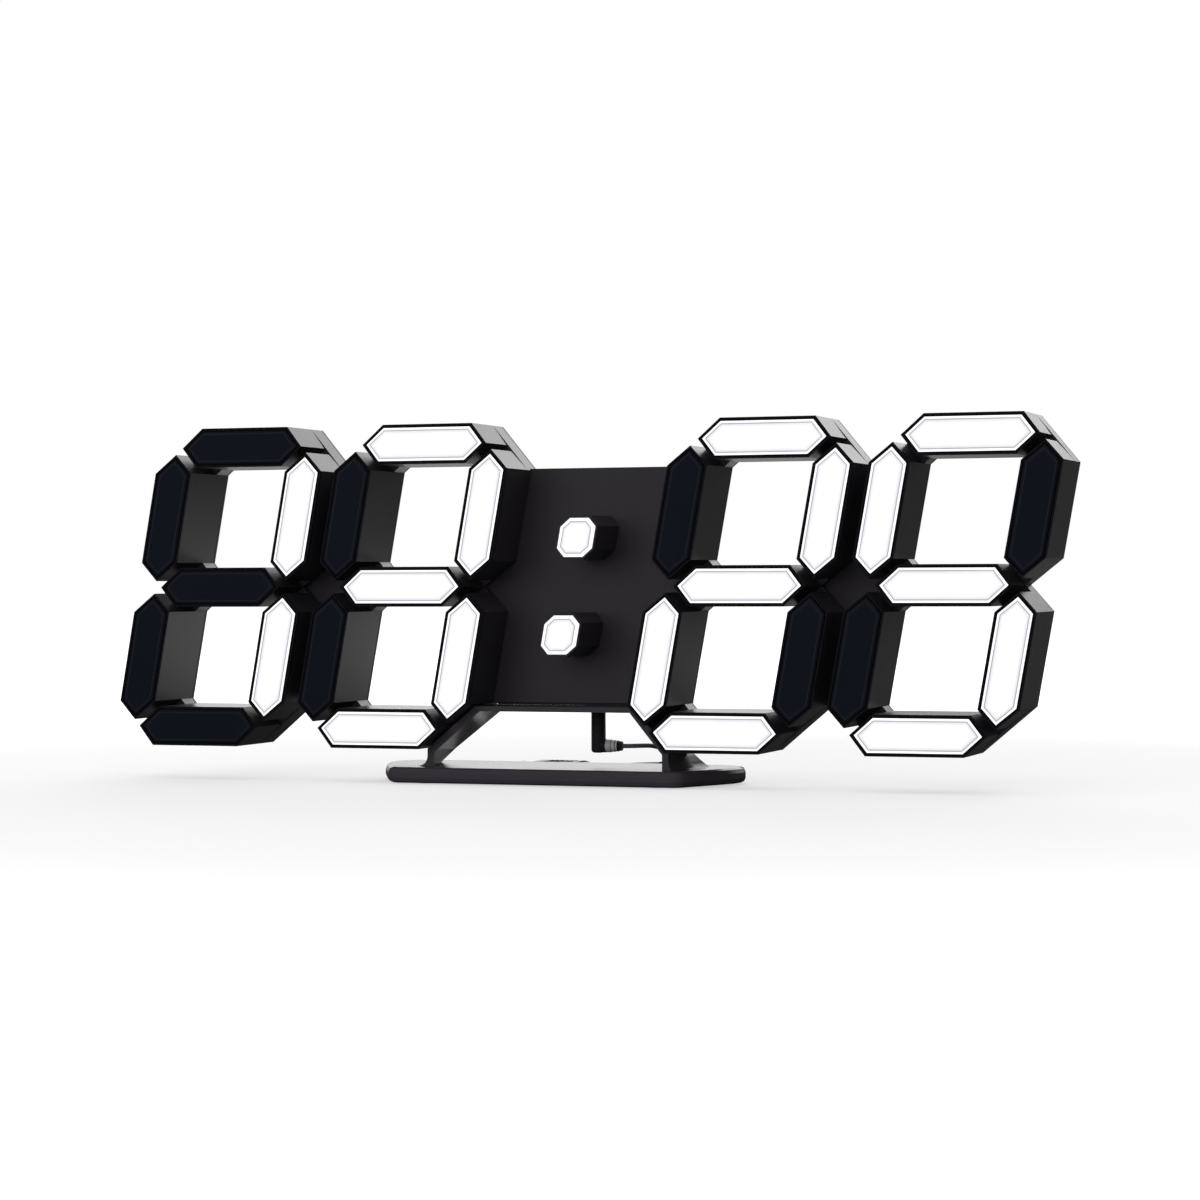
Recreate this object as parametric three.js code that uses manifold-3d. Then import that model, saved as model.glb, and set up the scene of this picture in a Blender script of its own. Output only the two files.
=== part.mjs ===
// A slanted four-digit LED wall clock with raised segment blocks, resting on its detachable stand.
// Millimetres. X runs to the right, Y to the back and Z up, from the table under the middle of the base.
import * as THREE from 'three';
import { mergeVertices } from 'three/addons/utils/BufferGeometryUtils.js';
import Module from 'manifold-3d';

const wasm = await Module();
wasm.setup();

// Digits, as upright figures before the slant
const digitHeight = 126;
const digitWidth = 72.2;
const horizontalStroke = 15.5;
const verticalStroke = 15.6;
const blockGap = 3.5; // groove between two neighbouring segment blocks
const tipShare = 0.945; // length of a block's point as a share of half its stroke
const holeChamfer = 2;
const slantShare = 0.179; // sideways lean for each unit of height
const plateWidth = 64.6; // between the two inner digits
const digitGap = 5.7; // between the two digits of a pair
const bridgeHeight = 92; // centre plate, and the webs between paired digits

// Depths of the housing, from the face of the blocks to the wall
const clockDepth = 34;
const ringFront = 23;
const plateFront = 27;
const wall = 1.5;
const coverThickness = 1.5;
const seamGap = 0.2;
const fitGap = 0.2; // all round a piece that is dropped into its seat
const overrun = 2; // how far a cutter runs past the face it opens
const weldDistance = 1e-4; // corners nearer than this are one
const lipHeight = 1.2; // rim on the cover that finds its place inside the housing
const lipWall = 0.8;

// Lenses and their cups
const rimWidth = 0.8;
const ledgeWidth = 1.1;
const lensSeat = 2;
const lensRise = 0.4;
const lensBevel = 1.1;
const skirtDepth = 2.5;
const skirtWall = 0.9;

// Colon
const dotWidth = 15.9;
const dotHeight = 16.8;
const dotChamfer = 3.9;
const dotSpacing = 37.2;
const dotFront = 1.5;

// Circuit board and what is soldered to it
const boardThickness = 1;
const boardGap = 0.3; // board to the plate's wall, and parts to the board
const boardMargin = 0.5;
const ledSize = 3;
const ledHeight = 1;
const ledPitch = 18;
const switchSize = 5;
const plungerDiameter = 2.4;
const plungerHeight = 0.2;
const chipSize = 10;
const chipHeight = 1.5;
const chipX = -18;
const chipZ = 2;
const leadCount = 4;
const leadLength = 1.2;
const leadWidth = 0.6;
const leadHeight = 0.8;
const buzzerDiameter = 9;
const buzzerHeight = 2.1;
const buzzerHole = 2;
const buzzerX = -17;
const buzzerZ = -22;
const cellDiameter = 12.5;
const cellHeight = 2;
const cellX = 20;
const cellZ = 3;
const holderFloor = 0.3;
const holderWall = 1.2;
const holderHeight = 1.9;
const holderMouth = 8; // gap in the holder's ring where the cell is pushed out

// Buttons on the back
const buttonDiameter = 6.6;
const buttonFlange = 8.6;
const flangeThickness = 0.4;
const buttonTravel = 0.5;
const buttonPitch = 15;
const buttonZ = 31;

// Hanging slots
const keyholeDiameter = 9;
const keyholeSlot = 4.6;
const keyholeRise = 8;
const keyholeZ = 22;

// Housing screws
const bossDiameter = 6;
const bossTop = 30.8;
const coverBossDiameter = 7;
const coverBossHeight = 1.4;
const screwHeadDiameter = 5;
const screwHeadHeight = 1.2;
const screwHeadDepth = 1.4;
const screwShank = 2;
const screwHole = 2.6;
const screwLength = 5;
const crossWidth = 0.7;
const crossLength = 3;
const crossDepth = 0.6;
const bossNotch = 7.4;

// Power socket and right-angle plug
const plugX = 2.1;
const plugY = 30.4;
const socketWidth = 9;
const socketThickness = 3.6;
const socketHeight = 11;
const barrelDiameter = 2.5;
const barrelLength = 9;
const boreClearance = 0.15;
const plugDiameter = 5.7;
const plugLength = 18.7; // from the housing down to the rounded foot
const plugFoot = 1;
const elbowRise = 2.7; // foot of the plug to the axis of its side arm
const armDiameter = 5.2;
const armLength = 3.2;
const reliefLength = 5.5;
const reliefEndDiameter = 3.8;
const reliefRibs = 3;
const ribDepth = 0.4;

// Cord, limp and thin
const cordDiameter = 1.8;
const cordGap = 0.3;
const coilMeanDiameter = 21.6;
const coilTurns = 7; // side by side, in each layer
const coilLayers = 2;
const coilLift = 0.5; // the tie passes under the coil
const coilX = 10.8;
const coilY = 58;
const tieWidth = 4;
const tieThickness = 0.4;
const usbLength = 22;
const usbWidth = 14.5;
const usbHeight = 5.4;
const usbCorner = 1.6;
const usbX = -17;
const usbY = 48.8;
const usbShellLength = 12;
const usbShellWidth = 12;
const usbShellHeight = 4.5;
const usbShellWall = 0.4;

// Stand
const baseHeight = 6.5;
const padHeight = 0.4; // how far the rubber pads stand out
const baseDepth = 52;
const clockSetback = 2; // front edge of the base to the face of the blocks
const baseFrontWidth = 118;
const baseRearWidth = 168;
const baseX = -14;
const baseFrontCorner = 4;
const baseRearCorner = 33;
const baseRim = 2; // rounding of the base's upper and lower edges
const baseWall = 3;
const pocketDepth = 3.6;
const pocketRib = 2.4;
const padDiameter = 11;
const padRecess = 0.8;
const padInset = 12;
const bracketFront = 10; // front edge of the base to the front of the bracket
const bracketDepth = 26;
const bracketWall = 2.9;
const shelfWall = 2;
const cradleGap = 0.4; // clock to bracket
const legHeight = 7; // straight foot of each arm, from the base to the foot of the digits
const rootSpread = 4.5; // how far the foot of a leg spreads outwards onto the base
const rootHeight = 4.5;
const notchLeft = 3.9; // clear space on the left of the plug's axis
const notchRight = 20;
const notchDepth = 7.7;

// Facets of round pieces
const roundSides = 14;
const holeSides = 10;
const wideSides = 20;
const coilSides = 32;
const cordSides = 8;
const stepDiameters = 2; // length of one facet of the cord, in its diameters
const cornerSteps = 6; // facets of one rounded corner
const rimSteps = 2;

// Heights and depths that follow
const halfHeight = digitHeight / 2;
const halfWidth = digitWidth / 2;
const strokeMidZ = halfHeight - horizontalStroke / 2;
const strokeMidX = halfWidth - verticalStroke / 2;
const tipSetback = blockGap / Math.SQRT2;
const horizontalTip = (tipShare * horizontalStroke) / 2;
const verticalTip = (tipShare * verticalStroke) / 2;
const horizontalShoulder = strokeMidX - tipSetback - horizontalTip;
const verticalShoulder = strokeMidZ / 2 - tipSetback - verticalTip;
const upperShoulderZ = strokeMidZ / 2 + verticalShoulder;
const lowerShoulderZ = strokeMidZ / 2 - verticalShoulder;
const waistX = halfWidth - lowerShoulderZ / tipShare;
const holeSide = halfWidth - verticalStroke;
const bridgeHalf = bridgeHeight / 2;
const innerDigitX = (plateWidth + digitWidth) / 2;
const digitPitch = digitWidth + digitGap;
const digitCentres = [-innerDigitX - digitPitch, -innerDigitX, innerDigitX, innerDigitX + digitPitch];
const coverFront = clockDepth - coverThickness;
const bodyBack = coverFront - seamGap;
const boardFront = plateFront + wall + boardGap;
const boardBack = boardFront + boardThickness;
const flangeBack = coverFront - fitGap;
const flangeFront = flangeBack - flangeThickness;
const plungerBack = flangeFront - buttonTravel - boardGap;
const clockY = -baseDepth / 2 + clockSetback;
const shelfDrop = cradleGap + shelfWall;
const clockZ = baseHeight + legHeight + halfHeight;
const cornerBossX = (horizontalShoulder + strokeMidX) / 2;
const cornerBossZ = (upperShoulderZ + strokeMidZ) / 2;

const segments = [
  { name: 'top', x: 0, z: strokeMidZ, upright: false },
  { name: 'upper_left', x: -strokeMidX, z: strokeMidZ / 2, upright: true },
  { name: 'upper_right', x: strokeMidX, z: strokeMidZ / 2, upright: true },
  { name: 'middle', x: 0, z: 0, upright: false },
  { name: 'lower_left', x: -strokeMidX, z: -strokeMidZ / 2, upright: true },
  { name: 'lower_right', x: strokeMidX, z: -strokeMidZ / 2, upright: true },
  { name: 'bottom', x: 0, z: -strokeMidZ, upright: false },
];
const dots = [
  { name: 'upper', z: dotSpacing / 2 },
  { name: 'lower', z: -dotSpacing / 2 },
];

// Booleans
function solidOf(geometry) {
  const bare = geometry.clone();
  bare.deleteAttribute('normal');
  bare.deleteAttribute('uv');
  const merged = mergeVertices(bare, weldDistance);
  return new wasm.Manifold(new wasm.Mesh({
    numProp: 3,
    vertProperties: merged.attributes.position.array,
    triVerts: new Uint32Array(merged.index.array),
  }));
}

function geometryOf(solid) {
  const made = solid.getMesh();
  const geometry = new THREE.BufferGeometry();
  geometry.setAttribute('position', new THREE.BufferAttribute(made.vertProperties, 3));
  geometry.setIndex(new THREE.BufferAttribute(made.triVerts, 1));
  const faceted = geometry.toNonIndexed();
  faceted.computeVertexNormals();
  return faceted;
}

function join(...geometries) {
  return geometryOf(geometries.map(solidOf).reduce((sum, solid) => sum.add(solid)));
}

function cut(geometry, ...cutters) {
  return geometryOf(cutters.map(solidOf).reduce((rest, solid) => rest.subtract(solid), solidOf(geometry)));
}

function shared(first, second) {
  return geometryOf(solidOf(first).intersect(solidOf(second)));
}

// Outlines, counter-clockwise lists of [across, up]
function moved(points, x, z) {
  return points.map(([across, up]) => [across + x, up + z]);
}

// Moves each edge inwards by its own distance, or all by the same one.
function inset(points, distances) {
  const count = points.length;
  const distance = (edge) => (Array.isArray(distances) ? distances[edge] : distances);
  const normals = points.map(([x, z], edge) => {
    const [nextX, nextZ] = points[(edge + 1) % count];
    const length = Math.hypot(nextX - x, nextZ - z);
    return [(z - nextZ) / length, (nextX - x) / length];
  });
  return points.map(([x, z], corner) => {
    const before = (corner + count - 1) % count;
    const [ax, az] = normals[before];
    const [bx, bz] = normals[corner];
    const turn = ax * bz - az * bx;
    const shiftX = (distance(before) * bz - distance(corner) * az) / turn;
    const shiftZ = (distance(corner) * ax - distance(before) * bx) / turn;
    return [x + shiftX, z + shiftZ];
  });
}

function rectangle(left, right, bottom, top) {
  return [[left, bottom], [right, bottom], [right, top], [left, top]];
}

function chamfered(halfAcross, halfUp, chamfer) {
  const flatAcross = halfAcross - chamfer;
  const flatUp = halfUp - chamfer;
  return [
    [-flatAcross, -halfUp], [flatAcross, -halfUp], [halfAcross, -flatUp], [halfAcross, flatUp],
    [flatAcross, halfUp], [-flatAcross, halfUp], [-halfAcross, flatUp], [-halfAcross, -flatUp],
  ];
}

function blockOutline({ x, z, upright }) {
  const shoulder = upright ? verticalShoulder : horizontalShoulder;
  const end = shoulder + (upright ? verticalTip : horizontalTip);
  const half = (upright ? verticalStroke : horizontalStroke) / 2;
  const lying = [
    [-end, 0], [-shoulder, -half], [shoulder, -half], [end, 0], [shoulder, half], [-shoulder, half],
  ];
  const outline = upright ? lying.map(([along, across]) => [-across, along]) : lying;
  return moved(outline, x, z);
}

function ringOutline() {
  const right = [
    [horizontalShoulder, -halfHeight], [halfWidth, -upperShoulderZ], [halfWidth, -lowerShoulderZ],
    [waistX, 0],
    [halfWidth, lowerShoulderZ], [halfWidth, upperShoulderZ], [horizontalShoulder, halfHeight],
  ];
  return [...right, ...right.map(([x, z]) => [-x, -z])];
}

function holeOutlines() {
  const halfUp = (strokeMidZ - horizontalStroke) / 2;
  const hole = chamfered(holeSide, halfUp, holeChamfer);
  return [1, -1].map((side) => moved(hole, 0, (side * strokeMidZ) / 2));
}

function dotOutline({ z }) {
  return moved(chamfered(dotWidth / 2, dotHeight / 2, dotChamfer), 0, z);
}

// Rectangles that link neighbouring digits, from beside the holes of one to beside the holes of the next.
function bridgeOutlines(margin) {
  const reach = holeSide + margin;
  return digitCentres.slice(1).map((right, index) => rectangle(
    digitCentres[index] + reach, right - reach, margin - bridgeHalf, bridgeHalf - margin,
  ));
}

// Bodies
function shapeOf(points) {
  return new THREE.Shape(points.map(([x, z]) => new THREE.Vector2(x, z)));
}

function standUp(geometry, back) {
  return geometry.rotateX(Math.PI / 2).translate(0, back, 0);
}

// An upright outline drawn back through the clock from front to back.
function slab(outline, front, back, holes = []) {
  const shape = outline instanceof THREE.Shape ? outline : shapeOf(outline);
  shape.holes.push(...holes.map(shapeOf));
  const options = { depth: back - front, bevelEnabled: false, curveSegments: cornerSteps };
  return standUp(new THREE.ExtrudeGeometry(shape, options), back);
}

// A flat outline raised from bottom to top, with its rims rounded.
function plate(shape, bottom, top, rim) {
  const options = {
    depth: top - bottom - 2 * rim, bevelEnabled: true, bevelSegments: rimSteps, bevelThickness: rim,
    bevelSize: rim, bevelOffset: -rim, curveSegments: cornerSteps,
  };
  return new THREE.ExtrudeGeometry(shape, options).translate(0, 0, bottom + rim);
}

function box(left, right, front, back, bottom, top) {
  const geometry = new THREE.BoxGeometry(right - left, back - front, top - bottom);
  return geometry.translate((left + right) / 2, (front + back) / 2, (bottom + top) / 2);
}

// A round body along Y, from front to back.
function peg(x, z, diameter, front, back, sides = roundSides) {
  const geometry = new THREE.CylinderGeometry(diameter / 2, diameter / 2, back - front, sides);
  return geometry.translate(x, (front + back) / 2, z);
}

// A turned body about Y; the profile is [radius, y].
function lathe(profile, sides = roundSides) {
  return new THREE.LatheGeometry(profile.map(([radius, y]) => new THREE.Vector2(radius, y)), sides);
}

// A turned body about the vertical through the origin; the profile is [radius, height], bottom first.
function turned(profile, sides) {
  return lathe(profile, sides).rotateX(Math.PI / 2);
}

function slanted(geometry) {
  const shear = new THREE.Matrix4().makeShear(0, 0, 0, 0, slantShare, 0);
  return geometry.applyMatrix4(shear);
}

function leanAt(x, z) {
  return [x + slantShare * z, z];
}

// Cups of one digit or of the colon: the lens drops in at the front and light comes up from the board.
function cupCutters(outline, front, floor) {
  return [
    slab(inset(outline, rimWidth), front - overrun, front + lensSeat),
    slab(inset(outline, rimWidth + ledgeWidth), front, floor + overrun),
  ];
}

// Screws hold the four outer corners of the end digits.
const screwPlaces = [
  { name: 'upper_left', digit: digitCentres[0], side: -1, rise: 1 },
  { name: 'lower_left', digit: digitCentres[0], side: -1, rise: -1 },
  { name: 'upper_right', digit: digitCentres[3], side: 1, rise: 1 },
  { name: 'lower_right', digit: digitCentres[3], side: 1, rise: -1 },
].map(({ name, digit, side, rise }) => {
  const [x, z] = leanAt(digit + side * cornerBossX, rise * cornerBossZ);
  return { name, x, z };
});

const buttonPlaces = ['down', 'set', 'up'].map((name, index) => {
  const [x, z] = leanAt((index - 1) * buttonPitch, buttonZ);
  return { name, x, z };
});

const keyholePlaces = [-1, 1].map((side) => leanAt(side * (innerDigitX + digitPitch / 2), keyholeZ));

function frontHousing() {
  const ringCavity = ringFront + wall;
  const solids = [];
  const cutters = [];
  for (const centre of digitCentres) {
    const ring = moved(ringOutline(), centre, 0);
    const holes = holeOutlines().map((hole) => moved(hole, centre, 0));
    solids.push(slab(ring, ringFront, bodyBack));
    cutters.push(...holes.map((hole) => slab(hole, ringFront - overrun, clockDepth)));
    cutters.push(slab(inset(ring, wall), ringCavity, clockDepth, holes.map((hole) => inset(hole, -wall))));
    for (const segment of segments) {
      const outline = moved(blockOutline(segment), centre, 0);
      solids.push(slab(outline, 0, ringCavity));
      cutters.push(...cupCutters(outline, 0, ringFront));
    }
  }
  solids.push(...bridgeOutlines(0).map((outline) => slab(outline, plateFront, bodyBack)));
  cutters.push(...bridgeOutlines(wall).map((outline) => slab(outline, plateFront + wall, clockDepth)));
  for (const dot of dots) {
    solids.push(slab(dotOutline(dot), dotFront, plateFront + wall / 2));
    cutters.push(...cupCutters(dotOutline(dot), dotFront, plateFront));
  }
  const shell = slanted(cut(join(...solids), ...cutters));
  const bosses = screwPlaces.map(({ x, z }) => peg(
    x, z, bossDiameter, ringFront + wall / 2, bossTop,
  ));
  const pilots = screwPlaces.map(({ x, z }) => peg(
    x, z, screwHole, bossTop - screwLength, clockDepth, holeSides,
  ));
  const plugHole = barrelHole(-bridgeHalf - overrun, -bridgeHalf + wall + overrun);
  return cut(join(shell, ...bosses), ...pilots, plugHole);
}

function barrelHole(bottom, top) {
  const diameter = barrelDiameter + 2 * boreClearance;
  return upright(plugX, plugY, diameter, bottom, top);
}

function lens(outline, front) {
  const seated = inset(outline, rimWidth + fitGap);
  const back = front + lensSeat - fitGap;
  const options = {
    depth: back - front, bevelEnabled: true, bevelSegments: 1,
    bevelThickness: lensRise, bevelSize: lensBevel, bevelOffset: -lensBevel,
  };
  const pane = standUp(new THREE.ExtrudeGeometry(shapeOf(seated), options), back);
  const behind = box(-digitWidth, digitWidth, back, back + overrun, -digitHeight, digitHeight);
  const skirtOutline = inset(outline, rimWidth + ledgeWidth + fitGap);
  const skirt = slab(skirtOutline, back - skirtWall / 2, front + lensSeat + skirtDepth);
  const hollow = slab(inset(skirtOutline, skirtWall), back, clockDepth);
  return slanted(cut(join(cut(pane, behind), skirt), hollow));
}

function keyhole([x, z]) {
  const angle = Math.asin(keyholeSlot / keyholeDiameter);
  const shape = new THREE.Shape();
  shape.absarc(x, z, keyholeDiameter / 2, Math.PI / 2 + angle, Math.PI / 2 - angle + 2 * Math.PI, false);
  shape.absarc(x, z + keyholeRise, keyholeSlot / 2, 0, Math.PI, false);
  return slab(shape, coverFront - overrun, clockDepth + overrun);
}

// The back is closed by three covers, with their seams beside the centre plate.
const coverReach = innerDigitX + digitPitch + digitWidth;
const coverSpans = [
  { name: 'left', from: -coverReach, to: -(plateWidth + seamGap) / 2 },
  { name: 'middle', from: -(plateWidth - seamGap) / 2, to: (plateWidth - seamGap) / 2 },
  { name: 'right', from: (plateWidth + seamGap) / 2, to: coverReach },
];

function backCover(cover, { from, to }) {
  const span = box(from, to, ringFront, clockDepth + overrun, -digitHeight, digitHeight);
  return shared(cover, slanted(span));
}

function socketRoom(front, back) {
  const half = socketWidth / 2 + boardMargin;
  const top = -bridgeHalf + wall + fitGap + socketHeight + boardMargin;
  return box(plugX - half, plugX + half, front, back, -bridgeHalf, top);
}

// A rim round the inside of a cover, which leaves the housing's wall free.
function coverLip(outline) {
  const outer = inset(outline, wall + fitGap);
  return slanted(slab(outer, coverFront - lipHeight, clockDepth - wall / 2, [inset(outer, lipWall)]));
}

function wholeCover() {
  const rings = digitCentres.map((centre) => slab(
    moved(ringOutline(), centre, 0), coverFront, clockDepth,
  ));
  const bridges = bridgeOutlines(0).map((outline) => slab(outline, coverFront, clockDepth));
  const holes = digitCentres.flatMap((centre) => holeOutlines().map((hole) => slab(
    moved(hole, centre, 0), coverFront - overrun, clockDepth + overrun,
  )));
  const lips = digitCentres.map((centre) => coverLip(moved(ringOutline(), centre, 0)));
  const plateLip = coverLip(rectangle(-plateWidth / 2, plateWidth / 2, -bridgeHalf, bridgeHalf));
  lips.push(cut(plateLip, socketRoom(ringFront, clockDepth)));
  const sheet = join(slanted(cut(join(...rings, ...bridges), ...holes)), ...lips);
  const bossFront = coverFront - coverBossHeight;
  const bosses = screwPlaces.map(({ x, z }) => peg(
    x, z, coverBossDiameter, bossFront, clockDepth - wall / 2,
  ));
  const openings = [
    ...screwPlaces.map(({ x, z }) => peg(x, z, screwHole, bossFront - overrun, clockDepth, holeSides)),
    ...screwPlaces.map(({ x, z }) => peg(
      x, z, screwHeadDiameter + 2 * fitGap, clockDepth - screwHeadDepth, clockDepth + overrun,
    )),
    ...buttonPlaces.map(({ x, z }) => peg(
      x, z, buttonDiameter + 2 * fitGap, coverFront - overrun, clockDepth + overrun,
    )),
    ...keyholePlaces.map(keyhole),
  ];
  return cut(join(sheet, ...bosses), ...openings);
}

function mainBoard() {
  const margin = wall + boardMargin;
  const strips = digitCentres.map((centre) => slab(
    inset(moved(ringOutline(), centre, 0), margin), boardFront, boardBack,
    holeOutlines().map((hole) => inset(moved(hole, centre, 0), -margin)),
  ));
  const bridges = bridgeOutlines(margin).map((outline) => slab(outline, boardFront, boardBack));
  const sheet = slanted(join(...strips, ...bridges));
  const leds = [];
  for (const centre of digitCentres) {
    for (const { x, z, upright } of segments) {
      for (const side of [-1, 1]) {
        const along = (side * ledPitch) / 2;
        leds.push(leanAt(centre + x + (upright ? 0 : along), z + (upright ? along : 0)));
      }
    }
  }
  leds.push(...dots.map(({ z }) => leanAt(0, z)));
  const half = ledSize / 2;
  const seated = boardFront + boardThickness / 2;
  const lamps = leds.map(([x, z]) => box(
    x - half, x + half, boardFront - ledHeight, seated, z - half, z + half,
  ));
  const key = switchSize / 2;
  const switches = buttonPlaces.flatMap(({ x, z }) => [
    box(x - key, x + key, seated, plungerBack - plungerHeight, z - key, z + key),
    peg(x, z, plungerDiameter, seated, plungerBack, holeSides),
  ]);
  const notches = screwPlaces.map(({ x, z }) => peg(
    x, z, bossNotch, boardFront - overrun, boardBack + overrun,
  ));
  const solder = join(sheet, ...lamps, ...switches, ...controllerChip());
  return cut(solder, ...notches, socketRoom(ringFront, clockDepth));
}

function powerSocket() {
  const bottom = -bridgeHalf + wall + fitGap;
  const body = box(
    plugX - socketWidth / 2, plugX + socketWidth / 2,
    plugY - socketThickness / 2, plugY + socketThickness / 2, bottom, bottom + socketHeight,
  );
  return cut(body, barrelHole(bottom - overrun, barrelTop() + fitGap));
}

function controllerChip() {
  const seated = boardFront + boardThickness / 2;
  const half = chipSize / 2;
  const body = box(-half, half, seated, boardBack + chipHeight, -half, half);
  const pitch = chipSize / leadCount;
  const leads = [];
  for (let i = 0; i < leadCount; i += 1) {
    const z = (i - (leadCount - 1) / 2) * pitch;
    const reach = half + leadLength;
    leads.push(box(-reach, reach, seated, boardBack + leadHeight, z - leadWidth / 2, z + leadWidth / 2));
  }
  return [body, ...leads].map((piece) => piece.translate(chipX, 0, chipZ));
}

// A turned body that stands on the back of the board.
function onBoard(profile, x, z, sides) {
  return lathe(profile, sides).translate(x, boardBack + boardGap, z);
}

function buzzer() {
  const radius = buzzerDiameter / 2;
  const hole = buzzerHole / 2;
  const floor = buzzerHeight / 2;
  return onBoard([
    [0, 0], [radius, 0], [radius, buzzerHeight], [hole, buzzerHeight], [hole, floor], [0, floor],
  ], buzzerX, buzzerZ, wideSides);
}

function coinCellHolder() {
  const inner = cellDiameter / 2 + fitGap;
  const outer = inner + holderWall;
  const ring = onBoard([
    [0, 0], [outer, 0], [outer, holderHeight], [inner, holderHeight],
    [inner, holderFloor], [0, holderFloor],
  ], cellX, cellZ, wideSides);
  const front = boardBack + boardGap;
  const mouth = box(
    cellX - holderMouth / 2, cellX + holderMouth / 2, front + holderFloor, front + holderHeight + overrun,
    cellZ, cellZ + outer + overrun,
  );
  return cut(ring, mouth);
}

function coinCell() {
  const radius = cellDiameter / 2;
  const step = holderFloor;
  const low = holderFloor + seamGap / 2;
  return onBoard([
    [0, low], [radius - step, low], [radius - step, low + step], [radius, low + step],
    [radius, low + cellHeight - holderFloor], [0, low + cellHeight - holderFloor],
  ], cellX, cellZ, wideSides);
}

function button() {
  const radius = buttonDiameter / 2;
  const flange = buttonFlange / 2;
  const dish = flangeThickness;
  return lathe([
    [0, flangeFront], [flange, flangeFront], [flange, flangeBack], [radius, flangeBack],
    [radius, clockDepth], [radius - dish, clockDepth], [0, clockDepth - dish],
  ]);
}

function screw() {
  const head = clockDepth - screwHeadDepth + fitGap / 2;
  const tip = bossTop - screwLength + fitGap;
  const profile = [
    [0, tip], [screwShank / 2, tip + screwShank / 2], [screwShank / 2, head], [screwHeadDiameter / 2, head],
    [screwHeadDiameter / 2, head + screwHeadHeight / 2], [crossLength / 2, head + screwHeadHeight],
    [0, head + screwHeadHeight],
  ];
  const blank = lathe(profile);
  const top = head + screwHeadHeight;
  const arm = crossLength / 2;
  const slot = crossWidth / 2;
  return cut(
    blank,
    box(-arm, arm, top - crossDepth, top + overrun, -slot, slot),
    box(-slot, slot, top - crossDepth, top + overrun, -arm, arm),
  );
}

// Plug and strain relief, in the clock's own frame
function barrelTop() {
  return -bridgeHalf - cordGap + barrelLength;
}

function plugBarrel() {
  const radius = barrelDiameter / 2;
  const bottom = -bridgeHalf;
  const top = barrelTop();
  const lead = radius / 2;
  const profile = [[0, bottom], [radius, bottom], [radius, top - lead], [radius - lead, top], [0, top]];
  return turned(profile).translate(plugX, plugY, 0);
}

function plugBody() {
  const radius = plugDiameter / 2;
  const top = -bridgeHalf - cordGap;
  const foot = top - plugLength;
  const stem = turned([
    [0, foot], [radius - plugFoot, foot], [radius, foot + plugFoot], [radius, top], [0, top],
  ]);
  const armRadius = armDiameter / 2;
  const arm = new THREE.CylinderGeometry(armRadius, armRadius, armLength).rotateZ(Math.PI / 2);
  arm.translate(armLength / 2, 0, foot + elbowRise);
  return join(stem, arm).translate(plugX, plugY, 0);
}

function elbowZ() {
  return -bridgeHalf - cordGap - plugLength + elbowRise;
}

function strainRelief() {
  const steps = 2 * reliefRibs;
  const start = armDiameter / 2;
  const end = reliefEndDiameter / 2;
  const profile = [[0, 0]];
  for (let i = 0; i <= steps; i += 1) {
    const radius = start + ((end - start) * i) / steps;
    const groove = i % 2 ? ribDepth : 0;
    profile.push([radius - groove, (reliefLength * i) / steps]);
  }
  profile.push([0, reliefLength]);
  const geometry = lathe(profile).rotateZ(-Math.PI / 2);
  return geometry.translate(plugX + armLength + cordGap, plugY, elbowZ());
}

// The free cord, in the part's frame
function tube(points) {
  const path = new THREE.CatmullRomCurve3(points.map(([x, y, z]) => new THREE.Vector3(x, y, z)));
  const steps = Math.ceil(path.getLength() / (stepDiameters * cordDiameter));
  const section = new THREE.Shape();
  section.absarc(0, 0, cordDiameter / 2, 0, 2 * Math.PI, false);
  const options = { steps, curveSegments: cordSides / 2, extrudePath: path, bevelEnabled: false };
  return new THREE.ExtrudeGeometry(section, options);
}

// From the strain relief round behind the right arm, down behind the base and back to the coil.
const cordRoute = [
  [11.2, 6.4, 14.2], [14, 6.5, 14.25], [17, 7.4, 14.3], [19.6, 9.6, 14.3], [21.8, 13, 14.1],
  [23.6, 17, 13.2], [25, 21.5, 11.6], [26, 26.5, 9.2], [26.7, 31.5, 6.6], [27, 36.5, 4.2],
  [27, 41, 2.9], [27, 45, 2.6], [27, 49.6, 3.2],
];
const tailRoute = [
  [-7.5, 57, 1.4], [-7.7, 53.4, 1.6], [-9.6, 50.2, 2.1], [-12.6, 48.9, 2.6], [-16.7, 48.8, 2.7],
];

function coil() {
  const reach = (coilTurns * cordDiameter) / 2;
  const inner = coilMeanDiameter / 2 - reach;
  const outer = coilMeanDiameter / 2 + reach;
  const bottom = coilLift;
  const top = coilLift + coilLayers * cordDiameter;
  return turned([[inner, bottom], [outer, bottom], [outer, top], [inner, top], [inner, bottom]], coilSides)
    .translate(coilX, coilY, 0);
}

function cordTie() {
  const reach = (coilTurns * cordDiameter) / 2;
  const half = tieWidth / 2;
  const near = coilY + Math.sqrt((coilMeanDiameter / 2 - reach) ** 2 - half ** 2) - cordGap;
  const far = coilY + coilMeanDiameter / 2 + reach + cordGap;
  const bottom = coilLift - cordGap / 2;
  const top = coilLift + coilLayers * cordDiameter + cordGap;
  const outer = box(
    coilX - half, coilX + half, near - tieThickness, far + tieThickness,
    bottom - cordGap, top + tieThickness,
  );
  const inner = box(coilX - tieWidth, coilX + tieWidth, near, far, bottom, top);
  return cut(outer, inner);
}

function usbBody() {
  const across = usbWidth / 2;
  const up = usbHeight / 2;
  const outline = chamfered(across, up, usbCorner);
  const geometry = new THREE.ExtrudeGeometry(shapeOf(outline), { depth: usbLength, bevelEnabled: false });
  return geometry.rotateX(Math.PI / 2).rotateZ(-Math.PI / 2).translate(usbX, usbY, up);
}

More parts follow.
